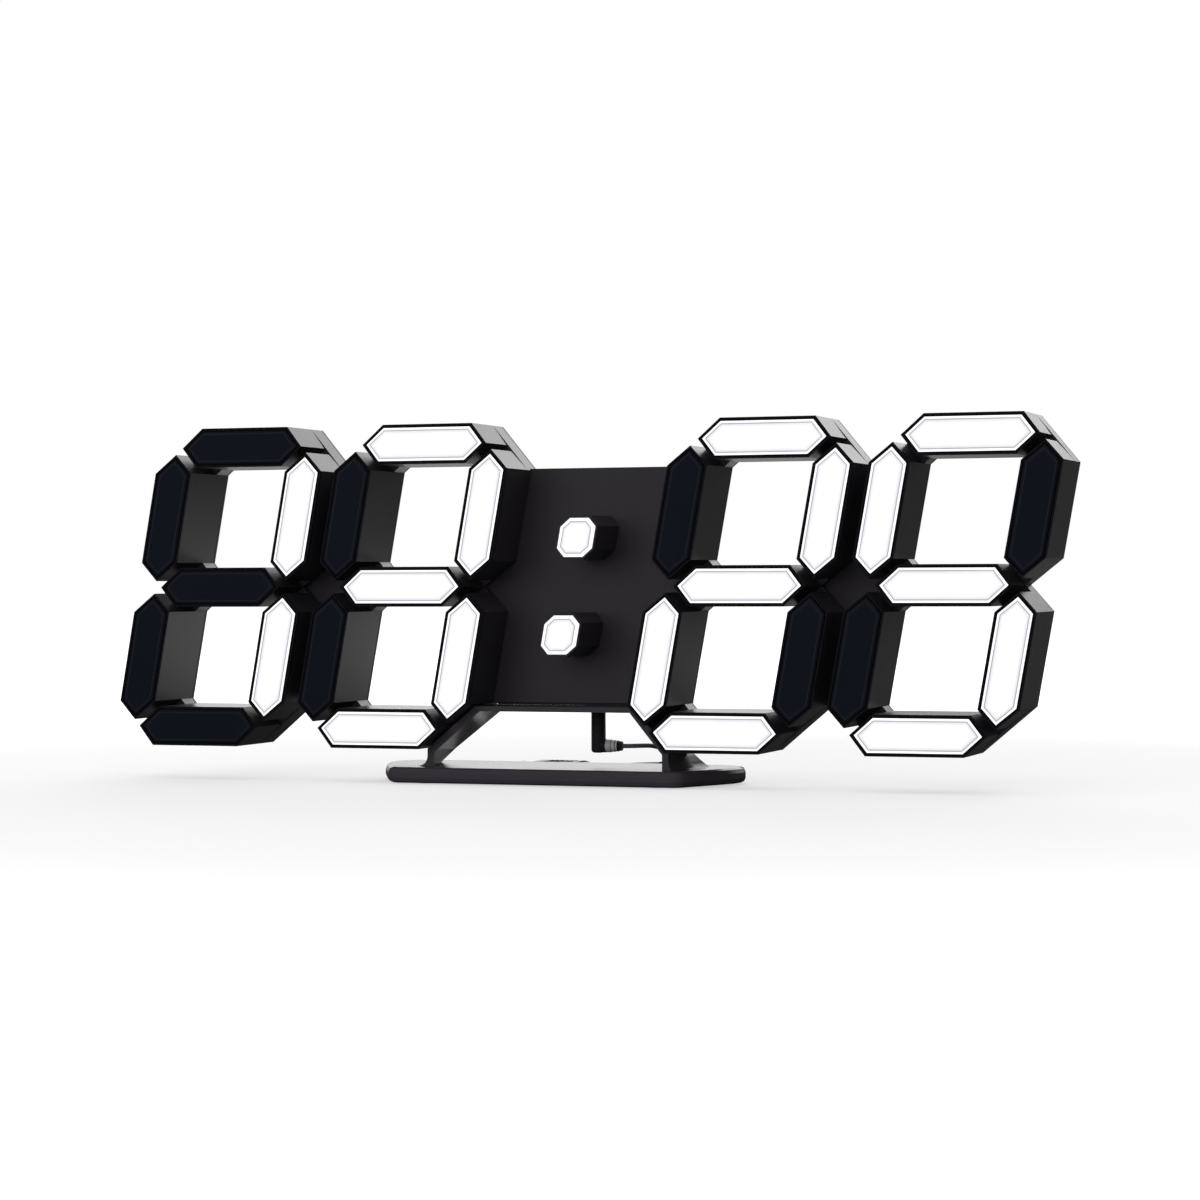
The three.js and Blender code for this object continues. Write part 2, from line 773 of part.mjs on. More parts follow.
function usbShell() {
  const back = usbX - usbLength - cordGap;
  const mouth = back - usbShellLength;
  const across = usbShellWidth / 2;
  const clear = across - usbShellWall;
  const middle = usbHeight / 2;
  const up = usbShellHeight / 2;
  const roof = middle + up - usbShellWall;
  const floor = middle - up + usbShellWall;
  const outer = box(mouth, back, usbY - across, usbY + across, middle - up, middle + up);
  const inner = box(mouth - overrun, back - usbShellWall, usbY - clear, usbY + clear, floor, roof);
  const tongue = box(
    mouth + usbShellWall, back - usbShellWall / 2,
    usbY - clear - usbShellWall / 2, usbY + clear + usbShellWall / 2, middle, roof + usbShellWall / 2,
  );
  return join(cut(outer, inner), tongue);
}

// Stand
function roundedOutline(corners) {
  const shape = new THREE.Shape();
  const count = corners.length;
  corners.forEach(([x, y, radius], index) => {
    const [beforeX, beforeY] = corners[(index + count - 1) % count];
    const [afterX, afterY] = corners[(index + 1) % count];
    const inLength = Math.hypot(x - beforeX, y - beforeY);
    const outLength = Math.hypot(afterX - x, afterY - y);
    const startX = x + ((beforeX - x) * radius) / inLength;
    const startY = y + ((beforeY - y) * radius) / inLength;
    const endX = x + ((afterX - x) * radius) / outLength;
    const endY = y + ((afterY - y) * radius) / outLength;
    if (index) shape.lineTo(startX, startY);
    else shape.moveTo(startX, startY);
    shape.quadraticCurveTo(x, y, endX, endY);
  });
  shape.closePath();
  return shape;
}

function padPlaces() {
  const across = baseFrontWidth / 2 - padInset;
  const deep = baseDepth / 2 - padInset;
  return [
    { name: 'front_left', x: baseX - across, y: -deep },
    { name: 'front_right', x: baseX + across, y: -deep },
    { name: 'rear_left', x: baseX - across, y: deep },
    { name: 'rear_right', x: baseX + across, y: deep },
  ];
}

function upright(x, y, diameter, bottom, top, sides = roundSides) {
  const geometry = new THREE.CylinderGeometry(diameter / 2, diameter / 2, top - bottom, sides);
  return geometry.rotateX(Math.PI / 2).translate(x, y, (bottom + top) / 2);
}

// The space between the two inner digits, from the plate down to footZ: bottom left, then counter-clockwise.
function cradleOutline(footZ) {
  const [leftShoulderX] = leanAt(-innerDigitX + halfWidth, -upperShoulderZ);
  const [leftFootX] = leanAt(-innerDigitX + horizontalShoulder, -halfHeight);
  const [rightShoulderX] = leanAt(innerDigitX - halfWidth, -upperShoulderZ);
  const [rightFootX] = leanAt(innerDigitX - horizontalShoulder, -halfHeight);
  const chamferDrop = halfHeight - upperShoulderZ;
  const plateDrop = (bridgeHalf - upperShoulderZ) / chamferDrop;
  const leftTopX = leftShoulderX + (leftFootX - leftShoulderX) * plateDrop;
  const rightTopX = rightShoulderX + (rightFootX - rightShoulderX) * plateDrop;
  const kneeZ = clockZ - halfHeight;
  const topZ = clockZ - bridgeHalf;
  return [
    [leftFootX, footZ], [rightFootX, footZ], [rightFootX, kneeZ], [rightTopX, topZ], [leftTopX, topZ],
    [leftFootX, kneeZ],
  ];
}

function stand() {
  const front = -baseDepth / 2;
  const back = baseDepth / 2;
  const frontHalf = baseFrontWidth / 2;
  const rearHalf = baseRearWidth / 2;
  const slabOutline = roundedOutline([
    [baseX - frontHalf, front, baseFrontCorner], [baseX + frontHalf, front, baseFrontCorner],
    [baseX + rearHalf, back, baseRearCorner], [baseX - rearHalf, back, baseRearCorner],
  ]);
  const base = plate(slabOutline, padHeight, baseHeight, baseRim);

  const armInset = cradleGap + bracketWall;
  const outer = inset(
    cradleOutline(baseHeight / 2), [0, cradleGap, cradleGap, cradleGap, cradleGap, cradleGap],
  );
  const inner = inset(cradleOutline(0), [0, armInset, armInset, shelfDrop, armInset, armInset]);
  const bracketStart = front + bracketFront;
  const bracketEnd = bracketStart + bracketDepth;
  const band = cut(
    slab(outer, bracketStart, bracketEnd),
    slab(inner, bracketStart - overrun, bracketEnd + overrun),
  );
  const plugNotch = box(
    plugX - notchLeft, plugX + notchRight, bracketEnd - notchDepth, bracketEnd + overrun,
    clockZ - bridgeHalf - shelfDrop - overrun, clockZ - bridgeHalf + overrun,
  );
  const [leftLegX] = outer[0];
  const [rightLegX] = outer[1];
  const roots = [
    legRoot(leftLegX, -1, bracketStart, bracketEnd), legRoot(rightLegX, 1, bracketStart, bracketEnd),
  ];
  return cut(join(base, cut(band, plugNotch), ...roots), ...basePockets(), ...padSeats());
}

// The foot of a leg sweeps outwards onto the base.
function legRoot(x, side, front, back) {
  const shape = new THREE.Shape();
  const sunk = bracketWall / 2;
  const inside = x - side * sunk;
  shape.moveTo(inside, baseHeight - sunk);
  shape.lineTo(x + side * rootSpread, baseHeight - sunk);
  shape.lineTo(x + side * rootSpread, baseHeight);
  shape.quadraticCurveTo(x, baseHeight, x, baseHeight + rootHeight);
  shape.lineTo(inside, baseHeight + rootHeight);
  return slab(shape, front, back);
}

// Lightening pockets under the base, three across and two deep, clear of the pads.
function basePockets() {
  const across = baseFrontWidth / 2 - padInset - padDiameter / 2 - pocketRib;
  const deep = baseDepth / 2 - baseWall - baseRim;
  const pitch = (2 * across + pocketRib) / 3;
  const pockets = [];
  for (let column = 0; column < 3; column += 1) {
    const left = baseX - across + column * pitch;
    for (const side of [-1, 1]) {
      const near = (side * pocketRib) / 2;
      const far = side * deep;
      pockets.push(box(
        left, left + pitch - pocketRib, Math.min(near, far), Math.max(near, far),
        padHeight - overrun, padHeight + pocketDepth,
      ));
    }
  }
  return pockets;
}

function padSeats() {
  return padPlaces().map(({ x, y }) => upright(
    x, y, padDiameter + 2 * fitGap, padHeight - overrun, padHeight + padRecess,
  ));
}

function pad() {
  return upright(0, 0, padDiameter, 0, padHeight + padRecess - fitGap);
}

// Finishes
function finish(color, roughness, metalness = 0) {
  return new THREE.MeshStandardMaterial({ color, roughness, metalness });
}

const blackPlastic = finish('#2b282c', 0.5);
const glossBlack = finish('#17171a', 0.25);
const litLens = finish('#f7f5fa', 0.35);
const smokedLens = finish('#0d1018', 0.25);
const boardGreen = finish('#1f4a33', 0.55);
const darkPlastic = finish('#1c1c1e', 0.45);
const rubber = finish('#161616', 0.85);
const steel = finish('#9a9ca0', 0.35, 1);
const brass = finish('#c9a45a', 0.3, 1);

const part = new THREE.Group();
const clock = new THREE.Group();
clock.position.set(0, clockY, clockZ);
part.add(clock);

function addPiece(parent, name, geometry, material, x = 0, y = 0, z = 0) {
  const mesh = new THREE.Mesh(geometry, material);
  mesh.name = name;
  mesh.position.set(x, y, z);
  parent.add(mesh);
}

// The digits show 13:25.
const shown = [
  ['upper_right', 'lower_right'],
  ['top', 'upper_right', 'middle', 'lower_right', 'bottom'],
  ['top', 'upper_right', 'middle', 'lower_left', 'bottom'],
  ['top', 'upper_left', 'middle', 'lower_right', 'bottom'],
];

addPiece(clock, 'front_housing', frontHousing(), blackPlastic);
digitCentres.forEach((centre, index) => {
  const digit = new THREE.Group();
  digit.position.x = centre;
  clock.add(digit);
  for (const segment of segments) {
    const material = shown[index].includes(segment.name) ? litLens : smokedLens;
    addPiece(digit, `digit${index + 1}_lens_${segment.name}`, lens(blockOutline(segment), 0), material);
  }
});
for (const dot of dots) {
  addPiece(clock, `colon_lens_${dot.name}`, lens(dotOutline(dot), dotFront), litLens);
}
const cover = wholeCover();
for (const span of coverSpans) {
  addPiece(clock, `${span.name}_back_cover`, backCover(cover, span), glossBlack);
}
addPiece(clock, 'main_board', mainBoard(), boardGreen);
addPiece(clock, 'buzzer', buzzer(), darkPlastic);
addPiece(clock, 'coin_cell_holder', coinCellHolder(), darkPlastic);
addPiece(clock, 'coin_cell', coinCell(), steel);
addPiece(clock, 'power_socket', powerSocket(), darkPlastic);
for (const { name, x, z } of buttonPlaces) {
  addPiece(clock, `${name}_button`, button(), darkPlastic, x, 0, z);
}
for (const { name, x, z } of screwPlaces) {
  addPiece(clock, `screw_${name}`, screw(), steel, x, 0, z);
}
addPiece(clock, 'plug_barrel', plugBarrel(), brass);
addPiece(clock, 'plug_body', plugBody(), rubber);
addPiece(clock, 'strain_relief', strainRelief(), rubber);

addPiece(part, 'cord', tube(cordRoute), rubber);
addPiece(part, 'cord_coil', coil(), rubber);
addPiece(part, 'cord_tail', tube(tailRoute), rubber);
addPiece(part, 'cord_tie', cordTie(), rubber);
addPiece(part, 'usb_plug_body', usbBody(), rubber);
addPiece(part, 'usb_plug_shell', usbShell(), steel);
addPiece(part, 'stand', stand(), blackPlastic);
for (const { name, x, y } of padPlaces()) {
  addPiece(part, `pad_${name}`, pad(), rubber, x, y);
}

export default part;
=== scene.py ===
import math

import bmesh
import bpy
from mathutils import Matrix, Vector


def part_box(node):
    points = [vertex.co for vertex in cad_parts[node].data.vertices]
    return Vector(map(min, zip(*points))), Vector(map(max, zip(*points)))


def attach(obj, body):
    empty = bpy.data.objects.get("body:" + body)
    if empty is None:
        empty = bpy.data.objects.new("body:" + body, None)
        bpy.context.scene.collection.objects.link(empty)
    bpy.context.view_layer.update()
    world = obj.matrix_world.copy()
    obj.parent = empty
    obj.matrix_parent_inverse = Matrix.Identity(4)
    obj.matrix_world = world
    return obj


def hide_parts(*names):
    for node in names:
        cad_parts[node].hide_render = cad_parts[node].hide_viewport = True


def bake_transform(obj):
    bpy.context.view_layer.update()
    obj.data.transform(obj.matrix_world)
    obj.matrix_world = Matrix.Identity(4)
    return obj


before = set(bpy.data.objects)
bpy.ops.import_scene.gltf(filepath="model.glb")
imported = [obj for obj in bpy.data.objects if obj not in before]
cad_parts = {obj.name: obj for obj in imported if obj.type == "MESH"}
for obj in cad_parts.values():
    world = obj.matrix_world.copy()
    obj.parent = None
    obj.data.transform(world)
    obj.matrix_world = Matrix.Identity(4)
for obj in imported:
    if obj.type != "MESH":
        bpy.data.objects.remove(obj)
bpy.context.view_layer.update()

mm = 0.001
scene = bpy.context.scene
print("frame loaded:", len(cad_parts), "nodes")


def addObject(name, data):
    made = bpy.data.objects.new(name, data)
    scene.collection.objects.link(made)
    return made


# Camera, at the place the photograph was taken from
cameraSizes = {
    "x": 0.3937, "y": -1.1181, "z": 0.0790,
    "yaw": 19.164, "pitch": -0.383, "roll": -0.202,
    "lens": 91.58, "sensor": 36,
}


def addCamera(sizes):
    data = bpy.data.cameras.new("camera")
    data.lens = sizes["lens"]
    data.sensor_width = sizes["sensor"]
    turn = Matrix.Rotation(math.radians(sizes["yaw"]), 4, "Z")
    turn @= Matrix.Rotation(math.radians(90 + sizes["pitch"]), 4, "X")
    turn @= Matrix.Rotation(math.radians(sizes["roll"]), 4, "Z")
    eye = addObject("camera", data)
    eye.matrix_world = Matrix.Translation((sizes["x"], sizes["y"], sizes["z"])) @ turn
    scene.camera = eye


addCamera(cameraSizes)
print("camera placed")


# Shader maths: a Level is a node's output, and operators on it add Math nodes
class Level:
    def __init__(self, finish, socket):
        self.finish = finish
        self.socket = socket

    def combine(self, operation, first, second):
        return self.finish.node("Math", {"operation": operation}, {0: first, 1: second})

    def __add__(self, other):
        return self.combine("ADD", self, other)

    def __radd__(self, other):
        return self.combine("ADD", other, self)

    def __sub__(self, other):
        return self.combine("SUBTRACT", self, other)

    def __rsub__(self, other):
        return self.combine("SUBTRACT", other, self)

    def __mul__(self, other):
        return self.combine("MULTIPLY", self, other)

    def __rmul__(self, other):
        return self.combine("MULTIPLY", other, self)

    def __gt__(self, other):
        return self.combine("GREATER_THAN", self, other)

    def __lt__(self, other):
        return self.combine("LESS_THAN", self, other)


# The nodes of a material or of the world
class Finish:
    def __init__(self, owner):
        self.owner = owner
        self.owner.use_nodes = True
        self.tree = self.owner.node_tree
        self.tree.nodes.clear()

    def node(self, kind, settings=None, values=None, output=0):
        made = self.tree.nodes.new("ShaderNode" + kind)
        for name, setting in (settings or {}).items():
            setattr(made, name, setting)
        for name, value in (values or {}).items():
            if isinstance(value, Level):
                self.tree.links.new(value.socket, made.inputs[name])
            else:
                made.inputs[name].default_value = value
        return Level(self, made.outputs[output]) if made.outputs else None

    def place(self):
        return self.node("TexCoord", output="Object")

    def attribute(self, name):
        return self.node("Attribute", {"attribute_name": name}, output="Fac")

    def part(self, vector, axis):
        return self.node("SeparateXYZ", {}, {0: vector}, axis)

    def noise(self, place, scale, detail=2, roughness=0.5):
        values = {"Vector": place, "Scale": scale, "Detail": detail, "Roughness": roughness}
        return self.node("TexNoise", {}, values, "Fac")

    def distance(self, place, centre):
        return self.node("VectorMath", {"operation": "DISTANCE"}, {0: place, 1: centre}, "Value")

    def stretched(self, place, scale):
        return self.node("Mapping", {}, {"Vector": place, "Scale": scale})

    # 0 below start, 1 past end, with a soft change between them
    def ramp(self, level, start, end):
        values = {"Value": level, "From Min": start, "From Max": end}
        return self.node("MapRange", {"interpolation_type": "SMOOTHSTEP"}, values)

    # A change to both sides of 0, from a noise about its middle
    def swing(self, noise, width, middle=0.5):
        return (noise - middle) * width

    def mixed(self, share, first, second):
        return self.node("Mix", {"data_type": "RGBA"}, {0: share, 6: first, 7: second}, 2)

    # The same for plain numbers
    def blended(self, share, first, second):
        return self.node("Mix", {}, {0: share, 2: first, 3: second})

    def bumped(self, height, depth):
        return self.node("Bump", {}, {"Height": height, "Distance": depth})

    def surface(self, values):
        shader = self.node("BsdfPrincipled", {}, values)
        self.node("OutputMaterial", {}, {"Surface": shader})
        return self.owner


def newFinish(name):
    return Finish(bpy.data.materials.new(name))


def grey(level):
    return (level, level, level, 1)


# Dark plastic isn't quite grey: it has a little more red than green, and more blue still
def tinted(level, red=0.16, blue=0.24):
    return (level * (1 + red), level, level * (1 + blue), 1)


# Moulded plastics and rubbers: fine grain from the mould, slow changes of tone and gloss,
# thin hairlines from handling and a little dust
mouldedSizes = {
    "cover": {"dark": 0.0150, "light": 0.0210, "gloss": 0.42, "grain": 1500, "depth": 0.016, "dust": 0.05},
    "stand": {"dark": 0.0270, "light": 0.0330, "gloss": 0.20, "grain": 2400, "depth": 0.001, "dust": 0.04},
    "inner": {"dark": 0.0120, "light": 0.0190, "gloss": 0.42, "grain": 2800, "depth": 0.008, "dust": 0.00},
    "plug": {"dark": 0.0060, "light": 0.0110, "gloss": 0.26, "grain": 3200, "depth": 0.005, "dust": 0.04},
    "cord": {"dark": 0.0380, "light": 0.0560, "gloss": 0.40, "grain": 2600, "depth": 0.010, "dust": 0.06},
    "pad": {"dark": 0.0110, "light": 0.0180, "gloss": 0.80, "grain": 1800, "depth": 0.030, "dust": 0.10},
    "housing": {"dark": 0.0205, "light": 0.0255, "gloss": 0.30, "grain": 2600, "depth": 0.006, "dust": 0.05},
}
# What they share; a noise is its scale, detail and roughness
grainSizes = {
    "cloud": (38, 4, 0.6), "smudge": (11, 3, 0.55), "hairline": (520, 1), "speck": (5200, 1),
    "hairlineStretch": (1, 6, 24), "hairlineFrom": 0.76, "speckFrom": 0.74, "speckTo": 0.80,
    "cloudShare": 0.6, "dustShade": (0.30, 0.29, 0.28, 1), "specular": 0.35,
    "smudgeGloss": 0.10, "grainGloss": 0.06, "hairlineGloss": 0.08,
}
# The rims round the lenses are darker than the rest of the housing
rimSizes = {"front": -23.6, "back": -21.8, "shade": (0.0040, 0.0040, 0.0052, 1)}


def rimMask(finish, place, sizes):
    return finish.ramp(finish.part(place, 1), sizes["back"] * mm, sizes["front"] * mm)


def mouldedFinish(name, sizes, shared):
    finish = newFinish(name)
    place = finish.place()
    grain = finish.noise(place, sizes["grain"])
    cloud = finish.noise(place, *shared["cloud"])
    smudge = finish.noise(place, *shared["smudge"])
    drawn = finish.stretched(place, shared["hairlineStretch"])
    hairline = finish.noise(drawn, *shared["hairline"]) > shared["hairlineFrom"]
    speck = finish.noise(place, *shared["speck"])
    dust = finish.ramp(speck, shared["speckFrom"], shared["speckTo"]) * sizes["dust"]
    tone = cloud * shared["cloudShare"] + grain * (1 - shared["cloudShare"])
    clean = finish.mixed(tone, tinted(sizes["dark"]), tinted(sizes["light"]))
    colour = finish.mixed(dust, clean, shared["dustShade"])
    if name == "housing":
        colour = finish.mixed(rimMask(finish, place, rimSizes), colour, rimSizes["shade"])
    gloss = sizes["gloss"] + finish.swing(smudge, shared["smudgeGloss"])
    gloss = gloss + finish.swing(grain, shared["grainGloss"]) + hairline * shared["hairlineGloss"]
    return finish.surface({
        "Base Color": colour,
        "Roughness": gloss,
        "Specular IOR Level": shared["specular"],
        "Normal": finish.bumped(grain, sizes["depth"] * mm),
    })


# Strain relief: grey ribs and a black end ring
reliefShades = {
    "light": 0.30, "dark": 0.17, "tint": (0.04, 0.06), "ring": 0.008, "ringFrom": 10.15,
    "grain": (3000, 2), "cloud": (260, 3, 0.6), "depth": 0.006, "specular": 0.4,
    "gloss": 0.34, "cloudGloss": 0.14, "grainGloss": 0.06,
}


def reliefFinish(sizes):
    finish = newFinish("relief")
    place = finish.place()
    grain = finish.noise(place, *sizes["grain"])
    cloud = finish.noise(place, *sizes["cloud"])
    ring = finish.part(place, 0) > sizes["ringFrom"] * mm
    dark, light = (tinted(sizes[shade], *sizes["tint"]) for shade in ["dark", "light"])
    return finish.surface({
        "Base Color": finish.mixed(ring, finish.mixed(cloud, dark, light), tinted(sizes["ring"])),
        "Roughness": sizes["gloss"] + cloud * sizes["cloudGloss"] + grain * sizes["grainGloss"],
        "Specular IOR Level": sizes["specular"],
        "Normal": finish.bumped(grain, sizes["depth"] * mm),
    })


# Lenses: the shade attribute is 1 on the fine line round the flat of a pane and fades inwards from it.
# On the digits it falls to -1 across the sloping border, whose outer part is black.
borderSizes = {"start": -0.64, "full": -0.72}


def borderMask(finish, shade):
    return finish.ramp(shade, borderSizes["start"], borderSizes["full"])


# A lit pane glows, less on the line
litSizes = {
    "frost": (420, 3, 0.6), "flow": (60, 2), "flowFrom": 0.85, "flowShare": 0.3,
    "glow": (1, 1, 1, 1), "line": (0.24, 0.235, 0.275, 1), "strength": 1.05,
    "dark": (0.22, 0.22, 0.24, 1), "light": (0.27, 0.27, 0.28, 1), "border": (0.004, 0.004, 0.005, 1),
    "gloss": 0.34, "frostGloss": 0.12, "specular": 0.2, "depth": 0.004,
}


def litFinish(sizes):
    finish = newFinish("lit_lens")
    place = finish.place()
    shade = finish.attribute("shade")
    frost = finish.noise(place, *sizes["frost"])
    flow = finish.noise(place, *sizes["flow"])
    lined = shade * (sizes["flowFrom"] + flow * sizes["flowShare"])
    border = borderMask(finish, shade)
    body = finish.mixed(frost, sizes["dark"], sizes["light"])
    return finish.surface({
        "Base Color": finish.mixed(border, body, sizes["border"]),
        "Roughness": sizes["gloss"] + frost * sizes["frostGloss"],
        "Emission Color": finish.mixed(border, finish.mixed(lined, sizes["glow"], sizes["line"]), grey(0)),
        "Emission Strength": sizes["strength"],
        "Specular IOR Level": sizes["specular"],
        "Normal": finish.bumped(frost, sizes["depth"] * mm),
    })


# A smoked pane is nearly black and a little blue, with patches of another tint, and a lighter line round its
# flat that is a painted highlight of its edge
smokedSizes = {
    "haze": (26, 3, 0.6), "drift": (9, 2), "driftShare": 0.6,
    "dark": (0.0042, 0.0048, 0.0096, 1), "light": (0.0060, 0.0062, 0.0140, 1),
    "patch": (0.0036, 0.0070, 0.0084, 1), "border": (0.002, 0.002, 0.003, 1),
    "line": (0.020, 0.020, 0.024, 1), "highlightLineFrom": 0.8, "lineTo": 1.0, "highlightLineShare": 0.5,
    "gloss": 0.26, "hazeGloss": 0.08, "specular": 0.12,
}


def smokedFinish(sizes):
    finish = newFinish("smoked_lens")
    place = finish.place()
    shade = finish.attribute("shade")
    haze = finish.noise(place, *sizes["haze"])
    drift = finish.noise(place, *sizes["drift"])
    body = finish.mixed(haze, sizes["dark"], sizes["light"])
    body = finish.mixed(drift * sizes["driftShare"], body, sizes["patch"])
    # Painted highlight: the lighter line round the flat stands in for the edge catching light
    line = finish.ramp(shade, sizes["highlightLineFrom"], sizes["lineTo"])
    pane = finish.mixed(line * sizes["highlightLineShare"], body, sizes["line"])
    return finish.surface({
        "Base Color": finish.mixed(borderMask(finish, shade), pane, sizes["border"]),
        "Roughness": sizes["gloss"] + haze * sizes["hazeGloss"],
        "Specular IOR Level": sizes["specular"],
    })


# Circuit board: green mask over copper, white lamps in front of it and dark parts behind
boardSizes = {
    "weave": (1400, 2), "cells": 210, "track": 0.06, "lampsTo": 4.75, "partsFrom": 5.85,
    "dark": (0.004, 0.018, 0.010, 1), "light": (0.007, 0.028, 0.016, 1), "copper": (0.012, 0.048, 0.028, 1),
    "lamps": (0.72, 0.70, 0.52, 1), "parts": (0.012, 0.012, 0.013, 1),
    "gloss": 0.35, "weaveGloss": 0.2, "depth": 0.03,
}


def boardFinish(sizes):
    finish = newFinish("circuit_board")
    place = finish.place()
    weave = finish.noise(place, *sizes["weave"])
    cells = {"Vector": place, "Scale": sizes["cells"]}
    copper = finish.node("TexVoronoi", {"feature": "DISTANCE_TO_EDGE"}, cells) < sizes["track"]
    depth = finish.part(place, 1)
    sheet = finish.mixed(copper, finish.mixed(weave, sizes["dark"], sizes["light"]), sizes["copper"])
    lamps = finish.mixed(depth < sizes["lampsTo"] * mm, sheet, sizes["lamps"])
    return finish.surface({
        "Base Color": finish.mixed(depth > sizes["partsFrom"] * mm, lamps, sizes["parts"]),
        "Roughness": sizes["gloss"] + weave * sizes["weaveGloss"],
        "Normal": finish.bumped(copper, sizes["depth"] * mm),
    })


# Metals: brushed along one axis, with slow stains
metalSizes = {
    "steel": {"clean": (0.62, 0.62, 0.64, 1), "stained": (0.48, 0.48, 0.50, 1), "gloss": 0.24},
    "brass": {"clean": (0.78, 0.58, 0.28, 1), "stained": (0.62, 0.44, 0.20, 1), "gloss": 0.22},
}
brushSizes = {
    "brush": (900, 3, 0.6), "brushStretch": (1, 14, 14), "stain": (130, 3, 0.6),
    "brushGloss": 0.16, "stainGloss": 0.06, "depth": 0.004,
}


def metalFinish(name, sizes, shared):
    finish = newFinish(name)
    place = finish.place()
    brush = finish.noise(finish.stretched(place, shared["brushStretch"]), *shared["brush"])
    stain = finish.noise(place, *shared["stain"])
    return finish.surface({
        "Base Color": finish.mixed(stain, sizes["clean"], sizes["stained"]),
        "Metallic": 1.0,
        "Roughness": sizes["gloss"] + brush * shared["brushGloss"] + stain * shared["stainGloss"],
        "Normal": finish.bumped(brush, shared["depth"] * mm),
    })


finishes = {name: mouldedFinish(name, sizes, grainSizes) for name, sizes in mouldedSizes.items()}
finishes["relief"] = reliefFinish(reliefShades)
finishes["lit"] = litFinish(litSizes)
finishes["smoked"] = smokedFinish(smokedSizes)
finishes["board"] = boardFinish(boardSizes)
for name, sizes in metalSizes.items():
    finishes[name] = metalFinish(name, sizes, brushSizes)
print("finishes made:", len(finishes))


def meshOf(name, shape):
    mesh = bpy.data.meshes.new(name)
    shape.to_mesh(mesh)
    shape.free()
    return mesh


# Pieces: a bmesh becomes an object that rides on its body and stands for its nodes
def addPiece(name, shape, body, finish, stands=()):
    mesh = meshOf(name, shape)
    for face in mesh.polygons:
        face.use_smooth = True
    mesh.materials.append(finishes[finish])
    piece = addObject(name, mesh)
    if body:
        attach(piece, body)
    if stands:
        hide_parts(*stands)
    return piece


# A rounding is its width in millimetres, its segments and the angle in degrees from which an edge takes it
def roundEdges(piece, width, segments, sharp=32, weight=100):
    bevel = piece.modifiers.new("edges", "BEVEL")
    bevel.width = width * mm
    bevel.segments = segments
    bevel.limit_method = "ANGLE"
    bevel.angle_limit = math.radians(sharp)
    bevel.harden_normals = True
    bevel.use_clamp_overlap = True
    shading = piece.modifiers.new("shading", "WEIGHTED_NORMAL")
    shading.mode = "FACE_AREA"
    shading.weight = weight


# Points this close, in millimetres, are one; faces this flat, in degrees, are one
mergeSizes = {"apart": 0.002, "flat": 0.5}


def mergePoints(shape):
    bmesh.ops.remove_doubles(shape, verts=shape.verts, dist=mergeSizes["apart"] * mm)


def cleaned(shape):
    mergePoints(shape)
    bmesh.ops.recalc_face_normals(shape, faces=shape.faces)
    return shape


def solidOf(node):
    shape = bmesh.new()
    shape.from_mesh(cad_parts[node].data)
    mergePoints(shape)
    bmesh.ops.dissolve_limit(
        shape, angle_limit=math.radians(mergeSizes["flat"]), verts=shape.verts, edges=shape.edges,
    )
    return shape


def block(low, high):
    shape = bmesh.new()
    bmesh.ops.create_cube(shape, size=1)
    bmesh.ops.scale(shape, vec=high - low, verts=shape.verts)
    bmesh.ops.translate(shape, vec=(low + high) / 2, verts=shape.verts)
    return shape


# A profile of (radius, along) in millimetres, spun about an axis through centre
def spun(profile, centre, axis, steps=48):
    shape = bmesh.new()
    side = Vector((1, 0, 0)) if axis.z else Vector((0, 0, 1))
    places = [centre + (axis * along + side * radius) * mm for radius, along in profile]
    verts = [shape.verts.new(place) for place in places]
    edges = [shape.edges.new(pair) for pair in zip(verts, verts[1:])]
    bmesh.ops.spin(
        shape, geom=[*verts, *edges], cent=centre, axis=axis, angle=2 * math.pi,
        steps=steps, use_merge=True,
    )
    return cleaned(shape)


# Shapes joined to the first one, or cut out of it
def combined(operation, *shapes):
    parts = [addObject("part", meshOf("part", shape)) for shape in shapes]
    for other in parts[1:]:
        step = parts[0].modifiers.new("step", "BOOLEAN")
        step.operation = operation
        step.solver = "EXACT"
        step.object = other
    bpy.context.view_layer.update()
    whole = parts[0].evaluated_get(bpy.context.evaluated_depsgraph_get())
    result = bmesh.new()
    result.from_mesh(bpy.data.meshes.new_from_object(whole))
    for part in parts:
        bpy.data.objects.remove(part)
    return cleaned(result)


def corners(node):
    return [Vector(corner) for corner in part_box(node)]


def boxMiddle(node):
    low, high = corners(node)
    return (low + high) / 2


# The middle of a node's box, at the box's low end on one axis
def lowEnd(node, axis):
    place = boxMiddle(node)
    place[axis] = corners(node)[0][axis]
    return place


# Cord: out of the relief, behind the right arm, down behind the base and into its coil
cordSizes = {
    "thick": 1.8, "length": 1.02, "step": 1.2, "roundness": 3,
    "coilX": 10.8, "coilY": 58, "coilAcross": 21.6, "coilTurns": 7, "coilLift": 0.5,
    "pointsPerTurn": 32, "lastTurnShare": 0.44,
    "bendFromY": 10, "bendToY": 36,
}
cordRoute = [
    (11.2, 6.4, 14.2), (14, 6.5, 14.25), (17, 7.4, 14.3), (19.6, 9.6, 14.3), (21.8, 13, 14.1),
    (23.6, 17, 13.2), (25, 21.5, 11.6), (26, 26.5, 9.2), (26.7, 31.5, 6.6), (27, 36.5, 4.2),
    (27, 41, 2.9), (27, 45, 2.6), (27, 49.6, 3.2),
]
tailRoute = [
    (-7.5, 57, 1.4), (-7.7, 53.4, 1.6), (-9.6, 50.2, 2.1), (-12.6, 48.9, 2.6), (-17.4, 48.8, 2.7),
]


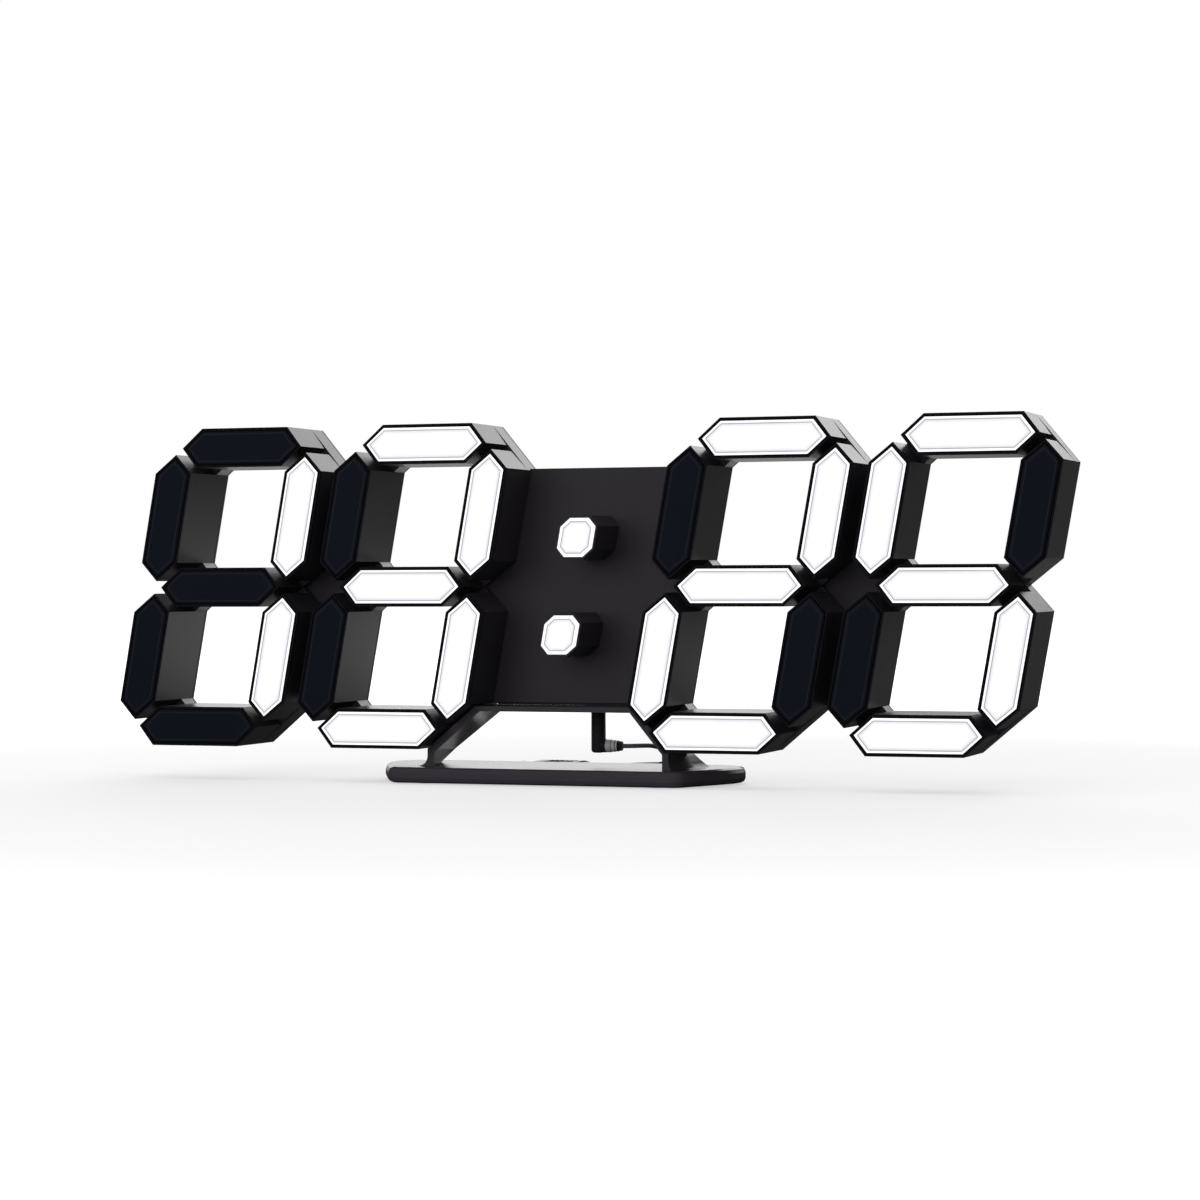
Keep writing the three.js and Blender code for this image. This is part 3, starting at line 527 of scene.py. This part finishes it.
def smoothLine(points, step):
    ends = [2 * points[0] - points[1], *points, 2 * points[-1] - points[-2]]
    line = []
    for before, start, end, after in zip(ends, ends[1:], ends[2:], ends[3:]):
        count = max(1, round((end - start).length / step))
        for i in range(count):
            share = i / count
            turn = (2 * before - 5 * start + 4 * end - after) * share ** 2
            twist = (3 * start - before - 3 * end + after) * share ** 3
            line.append((2 * start + (end - before) * share + turn + twist) / 2)
    return [*line, points[-1]]


def coilPoints(sizes):
    pitch = sizes["thick"]
    laps = sizes["coilTurns"] - 1
    outer = (sizes["coilAcross"] + laps * pitch) / 2
    inner = outer - laps * pitch
    low = sizes["coilLift"] + pitch / 2
    points = []
    total = 2 * laps + 1 + sizes["lastTurnShare"]
    for i in range(round(total * sizes["pointsPerTurn"]) + 1):
        lap = i / sizes["pointsPerTurn"]
        drop = min(1, max(0, lap - laps))
        radius = max(outer - pitch * lap, inner) if lap < laps + 1 else inner + pitch * (lap - laps - 1)
        height = low + pitch * (1 - drop * drop * (3 - 2 * drop))
        angle = 2 * math.pi * lap
        points.append(Vector((
            sizes["coilX"] + radius * math.cos(angle), sizes["coilY"] + radius * math.sin(angle), height,
        )))
    return points


def tubeAlong(name, points, radius, roundness):
    curve = bpy.data.curves.new(name, "CURVE")
    curve.dimensions = "3D"
    curve.bevel_depth = radius
    curve.bevel_resolution = roundness
    curve.use_fill_caps = True
    spline = curve.splines.new("POLY")
    spline.points.add(len(points) - 1)
    for point, place in zip(spline.points, points):
        point.co = (*place, 1)
    drawn = addObject(name, curve)
    bpy.context.view_layer.update()
    mesh = bpy.data.meshes.new_from_object(drawn.evaluated_get(bpy.context.evaluated_depsgraph_get()))
    bpy.data.objects.remove(drawn)
    shape = bmesh.new()
    shape.from_mesh(mesh)
    return cleaned(shape)


def addCord(sizes):
    chosen = [Vector(p) for p in cordRoute] + coilPoints(sizes) + [Vector(p) for p in tailRoute]
    line = [point * mm for point in smoothLine(chosen, sizes["step"])]
    shape = tubeAlong("power_cord", line, sizes["thick"] / 2 * mm, sizes["roundness"])
    piece = addPiece("power_cord", shape, None, "cord", ["cord", "cord_coil", "cord_tail"])
    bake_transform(piece)
    return piece, line


cord, cordLine = addCord(cordSizes)
cordLong = sum((b - a).length for a, b in zip(cordLine, cordLine[1:]))
print("cord laid:", round(cordLong, 3), "m")


# Right-angle plug: a round stem with a collar and a rounded heel, and a short side arm
plugSizes = {
    "radius": 2.85, "length": 18.7, "heel": 1.3, "heelSteps": 5, "chamfer": 0.2,
    "collar": 1.2, "grooveDeep": 0.15, "grooveLong": 0.3, "grooveSlope": 0.1,
    "armRadius": 2.6, "armReach": 3.35, "armRise": 2.7, "rounding": (0.12, 2),
}


def addPlug(sizes):
    foot = boxMiddle("plug_barrel")
    foot.z = corners("plug_body")[0].z
    radius, heel, length, chamfer = (sizes[name] for name in ["radius", "heel", "length", "chamfer"])
    groove = radius - sizes["grooveDeep"]
    grooveTo = length - sizes["collar"]
    grooveFrom = grooveTo - sizes["grooveLong"]
    slope = sizes["grooveSlope"]
    turns = [i / sizes["heelSteps"] * math.pi / 2 for i in range(sizes["heelSteps"] + 1)]
    stem = spun([
        (0, 0), *[(radius - heel + heel * math.sin(turn), heel - heel * math.cos(turn)) for turn in turns],
        (radius, grooveFrom - slope), (groove, grooveFrom), (groove, grooveTo), (radius, grooveTo + slope),
        (radius, length - chamfer), (radius - chamfer, length), (0, length),
    ], foot, Vector((0, 0, 1)))
    side = foot + Vector((0, 0, sizes["armRise"] * mm))
    armRadius, reach = sizes["armRadius"], sizes["armReach"]
    arm = spun([(0, 0), (armRadius, 0), (armRadius, reach), (0, reach)], side, Vector((1, 0, 0)))
    shape = combined("UNION", stem, arm)
    piece = addPiece("power_plug", shape, "clock", "plug", ["plug_body"])
    roundEdges(piece, *sizes["rounding"])
    return side


# Strain relief: three ribs that taper to a ring round the cord
reliefSizes = {
    "start": 3.35, "ribs": [(2.5, 2.1), (2.3, 1.3), (2.15, 1.0)], "groove": 0.5, "grooveLong": 0.35,
    "ring": 1.9, "ringLong": 0.95, "mouth": 0.95, "rounding": (0.16, 3),
}


def addRelief(side, sizes):
    along = sizes["start"]
    profile = [(0, along)]
    for radius, long in sizes["ribs"]:
        profile += [(radius, along), (radius, along + long)]
        along += long
        inner = radius - sizes["groove"]
        profile += [(inner, along), (inner, along + sizes["grooveLong"])]
        along += sizes["grooveLong"]
    end = along + sizes["ringLong"]
    profile += [(sizes["ring"], along), (sizes["ring"], end), (sizes["mouth"], end), (0, end)]
    shape = spun(profile, side, Vector((1, 0, 0)))
    piece = addPiece("plug_relief", shape, "clock", "relief", ["strain_relief"])
    roundEdges(piece, *sizes["rounding"])


addRelief(addPlug(plugSizes), reliefSizes)
print("plug made")


# USB plug: a moulded body with rounded corners and grip ridges, and a steel shell
usbSizes = {
    "corner": 2.0, "cornerSteps": 6, "noseShare": 0.62,
    "nose": [(0.5, 0.74), (1.2, 0.90), (1.6, 0.98), (1.0, 1.0)],
    "ridges": 6, "ridge": 0.9, "slope": 0.25, "valley": 0.7, "valleyShare": 0.93,
    "hole": 2.2, "holeFromMouth": 5.2, "holeSpread": 5.0,
    "rounding": (0.2, 3, 24), "shellRounding": (0.12, 2),
}


def addUsbBody(sizes):
    low, high = corners("usb_plug_body")
    middle, size = (low + high) / 2, high - low
    shape = bmesh.new()
    bmesh.ops.create_grid(shape, x_segments=1, y_segments=1, size=0.5)
    bmesh.ops.rotate(shape, matrix=Matrix.Rotation(math.pi / 2, 3, "Y"), verts=shape.verts)
    bmesh.ops.scale(shape, vec=(1, size.y, size.z), verts=shape.verts)
    bmesh.ops.bevel(
        shape, geom=shape.verts[:], offset=sizes["corner"] * mm, segments=sizes["cornerSteps"],
        profile=0.5, affect="VERTICES", material=-1,
    )
    bmesh.ops.translate(shape, vec=(high.x, middle.y, middle.z), verts=shape.verts)
    ridge = [
        (sizes["ridge"], 1), (sizes["slope"], sizes["valleyShare"]),
        (sizes["valley"], sizes["valleyShare"]), (sizes["slope"], 1),
    ]
    steps = sizes["nose"] + ridge * sizes["ridges"]
    rest = size.x / mm - sum(along for along, share in steps)
    steps.append((rest, 1))
    around = Matrix.Translation(-middle)
    last = sizes["noseShare"]
    bmesh.ops.scale(shape, vec=(1, last, last), space=around, verts=shape.verts)
    face = next(iter(shape.faces))
    for along, share in steps:
        made = bmesh.ops.extrude_face_region(shape, geom=[face])["geom"]
        face = next(item for item in made if isinstance(item, bmesh.types.BMFace))
        bmesh.ops.translate(shape, vec=(-along * mm, 0, 0), verts=face.verts)
        bmesh.ops.scale(shape, vec=(1, share / last, share / last), space=around, verts=face.verts)
        last = share
    bmesh.ops.holes_fill(shape, edges=[edge for edge in shape.edges if edge.is_boundary])
    piece = addPiece("usb_plug_grip", cleaned(shape), "stand", "plug", ["usb_plug_body"])
    roundEdges(piece, *sizes["rounding"])


def addUsbShell(sizes):
    low, high = corners("usb_plug_shell")
    middle = (low + high) / 2
    half, spread = sizes["hole"] / 2 * mm, sizes["holeSpread"] / 2 * mm
    reach = Vector((half, half, half / 2))
    holes = []
    for side in [-1, 1]:
        spot = Vector((low.x + sizes["holeFromMouth"] * mm, middle.y + side * spread, high.z))
        holes.append(block(spot - reach, spot + reach))
    shape = combined("DIFFERENCE", solidOf("usb_plug_shell"), *holes)
    piece = addPiece("usb_plug_sleeve", shape, "stand", "steel", ["usb_plug_shell"])
    roundEdges(piece, *sizes["shellRounding"])


tieSizes = {"rounding": (0.15, 3)}


def addTie(sizes):
    piece = addPiece("cord_strap", solidOf("cord_tie"), "stand", "inner", ["cord_tie"])
    roundEdges(piece, *sizes["rounding"])


addUsbBody(usbSizes)
addUsbShell(usbSizes)
addTie(tieSizes)
print("USB plug and tie made")


# Buttons: a flange behind the cover, a round stem and a dished top
buttonSizes = {
    "flange": 4.3, "flangeThick": 0.4, "radius": 3.3, "long": 2.1,
    "rim": 0.5, "rimSlope": 0.15, "dish": 0.35, "dishShare": 0.85, "rounding": (0.1, 2),
}


def addButton(node, sizes):
    flange, thick, slope = sizes["flange"], sizes["flangeThick"], sizes["rimSlope"]
    radius, long, dish = sizes["radius"], sizes["long"], sizes["dish"]
    inner = radius - sizes["rim"]
    shape = spun([
        (0, 0), (flange, 0), (flange, thick), (radius, thick), (radius, long), (inner, long),
        (inner - slope, long - slope), (inner / 2, long - dish * sizes["dishShare"]), (0, long - dish),
    ], lowEnd(node, 1), Vector((0, 1, 0)))
    piece = addPiece(node + "_cap", shape, node, "inner", [node])
    roundEdges(piece, *sizes["rounding"])


# Screws: a pan head with a cross cut in it, sunk in its well
screwSizes = {
    "tip": 1, "shank": 1, "under": 6.7, "head": 2.5, "edge": 7.3, "crownRadius": 1.5, "long": 7.9,
    "cross": 3, "crossWidth": 0.7, "crossDeep": 0.6, "rounding": (0.08, 2),
}


def addScrew(node, sizes):
    tip = lowEnd(node, 1)
    shank, head, under, long = (sizes[name] for name in ["shank", "head", "under", "long"])
    blank = spun([
        (0, 0), (shank, sizes["tip"]), (shank, under), (head, under), (head, sizes["edge"]),
        (sizes["crownRadius"], long), (0, long),
    ], tip, Vector((0, 1, 0)))
    top = tip + Vector((0, long * mm, 0))
    arm, half, deep = sizes["cross"] / 2 * mm, sizes["crossWidth"] / 2 * mm, sizes["crossDeep"] * mm
    slots = [
        block(top - Vector((across, deep, up)), top + Vector((across, deep, up)))
        for across, up in [(arm, half), (half, arm)]
    ]
    shape = combined("DIFFERENCE", blank, *slots)
    piece = addPiece(node + "_turned", shape, "clock", "steel", [node])
    roundEdges(piece, *sizes["rounding"])


# Pads: round rubber feet with a soft lower edge
padSizes = {"rounding": (0.25, 3)}


def addPad(node, sizes):
    low, high = corners(node)
    radius, thick = (high.x - low.x) / 2 / mm, (high.z - low.z) / mm
    profile = [(0, 0), (radius, 0), (radius, thick), (0, thick)]
    shape = spun(profile, lowEnd(node, 2), Vector((0, 0, 1)))
    piece = addPiece(node + "_foot", shape, "stand", "pad", [node])
    roundEdges(piece, *sizes["rounding"])


for node in ["down_button", "set_button", "up_button"]:
    addButton(node, buttonSizes)
for node in sorted(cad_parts):
    if node.startswith("screw_"):
        addScrew(node, screwSizes)
    if node.startswith("pad_"):
        addPad(node, padSizes)
print("buttons, screws and pads made")


# Housing, covers and stand keep the solid's shape, with moulded edges
housingSizes = {"rounding": (0.28, 2)}
coverSizes = {"rounding": (0.22, 2)}


def addHousing(sizes):
    shape = solidOf("front_housing")
    piece = addPiece("clock_housing", shape, "clock", "housing", ["front_housing"])
    roundEdges(piece, *sizes["rounding"])


def addCovers(sizes):
    for side in ["left", "middle", "right"]:
        node = side + "_back_cover"
        piece = addPiece(node + "_moulding", solidOf(node), "clock", "cover", [node])
        roundEdges(piece, *sizes["rounding"])


# The legs stand upright in front and sweep outwards at the back, down to the base
standSizes = {
    "baseTop": 6.5, "knee": 13.5, "front": -16, "back": 10, "reach": 0.01, "near": 8,
    "legs": [(-1, -65.1), (1, 37.7)], "flareShare": 0.35, "sweep": 7.6, "rounding": (0.4, 3, 18),
}


def addStand(sizes):
    shape = solidOf("stand")
    reach = sizes["reach"]
    for vert in shape.verts:
        x, y, z = vert.co / mm
        height = (z - sizes["baseTop"]) / (sizes["knee"] - sizes["baseTop"])
        depth = (y - sizes["front"]) / (sizes["back"] - sizes["front"])
        if not (-reach < height < 1 - reach and -reach < depth < 1 + reach):
            continue
        for side, face in sizes["legs"]:
            out = side * (x - face)
            if abs(out) < sizes["near"]:
                flare = max(0, out) * sizes["flareShare"] + min(0, out)
                vert.co.x = (face + side * (flare + sizes["sweep"] * depth * (1 - height))) * mm
    piece = addPiece("table_stand", shape, "stand", "stand", ["stand"])
    roundEdges(piece, *sizes["rounding"])


# A black strip along the foot of the plate, deeper over the notch for the plug: painted shadow, standing
# where the gap under the plate lies in shade
shadowStripSizes = {
    "front": 2.9, "back": 3.4, "top": 31.1, "rounding": (0.03, 2),
    "runs": [(-38.6, 39.6, 30.14), (-1.4, 21.7, 29.4)],
}


def addShadowStrip(sizes):
    runs = []
    for start, end, bottom in sizes["runs"]:
        low, high = Vector((start, sizes["front"], bottom)), Vector((end, sizes["back"], sizes["top"]))
        runs.append(block(low * mm, high * mm))
    shape = combined("UNION", *runs)
    # Painted shadow: the strip's near-black finish stands in for the shade in the gap between the plate and
    # the shelf
    piece = addPiece("plate_shadow_strip", shape, "clock", "plug")
    roundEdges(piece, *sizes["rounding"])


addHousing(housingSizes)
addCovers(coverSizes)
addStand(standSizes)
addShadowStrip(shadowStripSizes)
print("shells made")


# Lenses: the solid's pane, with a fine line round its flat and a soft shade inside the line
lensSizes = {
    "facing": 0.999, "edge": 0.06, "line": 0.40, "soft": 0.12, "near": 0.55, "fade": 2.6,
    "rounding": (0.12, 2),
}


def stepIn(shape, face, layer, across, shade):
    bmesh.ops.inset_region(shape, faces=[face], thickness=across * mm, use_even_offset=True)
    for vert in face.verts:
        vert[layer] = shade


def addLens(node, lit, sizes):
    shape = solidOf(node)
    layer = shape.verts.layers.float.new("shade")
    facing = [face for face in shape.faces if face.normal.y < -sizes["facing"]]
    pane = max(facing, key=lambda face: face.calc_area())
    if not node.startswith("colon"):
        for vert in set(shape.verts) - set(pane.verts):
            vert[layer] = -1
    stepIn(shape, pane, layer, sizes["edge"], 1)
    stepIn(shape, pane, layer, sizes["line"], 1)
    stepIn(shape, pane, layer, sizes["soft"], sizes["near"])
    stepIn(shape, pane, layer, sizes["fade"], 0)
    finish = "lit" if lit else "smoked"
    piece = addPiece(node + "_pane", shape, "clock", finish, [node])
    roundEdges(piece, *sizes["rounding"])


shown = {
    "digit1": ["upper_right", "lower_right"],
    "digit2": ["top", "upper_right", "middle", "lower_right", "bottom"],
    "digit3": ["top", "upper_right", "middle", "lower_left", "bottom"],
    "digit4": ["top", "upper_left", "middle", "lower_right", "bottom"],
    "colon": ["upper", "lower"],
}
for node in sorted(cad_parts):
    if "_lens_" in node:
        digit, segment = node.split("_lens_")
        addLens(node, segment in shown[digit], lensSizes)
print("lenses made")


# Inner pieces stay as they are in the frame, with their finishes
kept = {
    "main_board": "board", "buzzer": "inner", "coin_cell_holder": "inner", "coin_cell": "steel",
    "power_socket": "inner", "plug_barrel": "brass",
}
for node, finish in kept.items():
    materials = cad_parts[node].data.materials
    materials.clear()
    materials.append(finishes[finish])

# Floor, backdrop and lights; the floor glows in the camera's view, and on one patch in mirrored rays
stageSizes = {
    "floorAcross": 12, "floorGlow": 0.52, "floorSeen": 0.48, "floorBounce": 0.16, "floorMirrored": 0.06,
    "floorRoughness": 0.9, "floorSpecular": 0.1, "glowFrom": 0.28, "glowTo": 0.9,
    "sheen": 0.90, "sheenX": -0.25, "sheenY": 0.50, "sheenFrom": 0.25, "sheenTo": 0.47,
    "worldSeen": 1.0, "worldDiffuse": 0.40, "worldGloss": 0.05, "lightAim": (0, 0, 0.07),
}


def addFloor(sizes):
    shape = bmesh.new()
    bmesh.ops.create_grid(shape, x_segments=1, y_segments=1, size=sizes["floorAcross"] / 2)
    floor = addObject("floor", meshOf("floor", shape))
    finish = newFinish("floor")
    seen = finish.node("LightPath", output="Is Camera Ray")
    mirrored = finish.node("LightPath", output="Is Glossy Ray")
    place = finish.place()
    patch = (sizes["sheenX"], sizes["sheenY"], 0)
    # The floor's painted glow is weaker near the clock, where the lamps light it and cast their shadows, and
    # full white further off
    far = finish.ramp(finish.distance(place, (0, 0, 0)), sizes["glowFrom"], sizes["glowTo"])
    # Painted reflection: a patch of floor behind and left of the clock glows in mirrored rays only, so the
    # hole walls and the top of the base reflect its light
    near = 1 - finish.ramp(finish.distance(place, patch), sizes["sheenFrom"], sizes["sheenTo"])
    # Mirrored rays see the floor darker than diffuse light does: painted shade in its reflections
    bounce = finish.mixed(mirrored, grey(sizes["floorBounce"]), grey(sizes["floorMirrored"]))
    glow = finish.mixed(far, grey(sizes["floorGlow"]), grey(1))
    sheen = finish.mixed(mirrored * near, grey(0), grey(sizes["sheen"]))
    floor.data.materials.append(finish.surface({
        "Base Color": finish.mixed(seen, bounce, grey(sizes["floorSeen"])),
        "Roughness": sizes["floorRoughness"],
        "Specular IOR Level": sizes["floorSpecular"],
        "Emission Color": finish.mixed(seen, sheen, glow),
        "Emission Strength": 1.0,
    }))


def addWorld(sizes):
    scene.world = bpy.data.worlds.new("studio")
    finish = Finish(scene.world)
    mirrored = finish.node("LightPath", output="Is Glossy Ray")
    seen = finish.node("LightPath", output="Is Camera Ray")
    strength = finish.blended(mirrored, sizes["worldDiffuse"], sizes["worldGloss"])
    strength = finish.blended(seen, strength, sizes["worldSeen"])
    shader = finish.node("Background", {}, {"Color": grey(1), "Strength": strength})
    finish.node("OutputWorld", {}, {"Surface": shader})


lights = {
    "high_card": {"place": (-0.21, 1.80, 1.12), "size": (2.1, 1.35), "power": 20, "mirrored": True},
    "low_card": {"place": (-0.95, 1.75, 0.27), "size": (1.1, 0.37), "power": 1.6, "mirrored": True},
    "right_card": {"place": (2.90, 4.00, 1.00), "size": (1.8, 2.4), "power": 18, "mirrored": True},
    "front": {"place": (-0.38, -2.10, 0.45), "size": (2.5, 1.2), "power": 42, "mirrored": False},
    "top": {"place": (0.10, -0.20, 1.40), "size": (1.6, 1.0), "power": 4, "mirrored": False},
}


def addLight(name, sizes, aim):
    data = bpy.data.lights.new(name, "AREA")
    data.shape = "RECTANGLE"
    data.size, data.size_y = sizes["size"]
    data.energy = sizes["power"]
    light = addObject(name, data)
    place = Vector(sizes["place"])
    turn = (Vector(aim) - place).to_track_quat("-Z", "Y").to_matrix().to_4x4()
    light.matrix_world = Matrix.Translation(place) @ turn
    light.visible_camera = False
    light.visible_glossy = sizes["mirrored"]


addFloor(stageSizes)
addWorld(stageSizes)
for name, sizes in lights.items():
    addLight(name, sizes, stageSizes["lightAim"])
scene.view_settings.view_transform = "Standard"
print("stage lit")
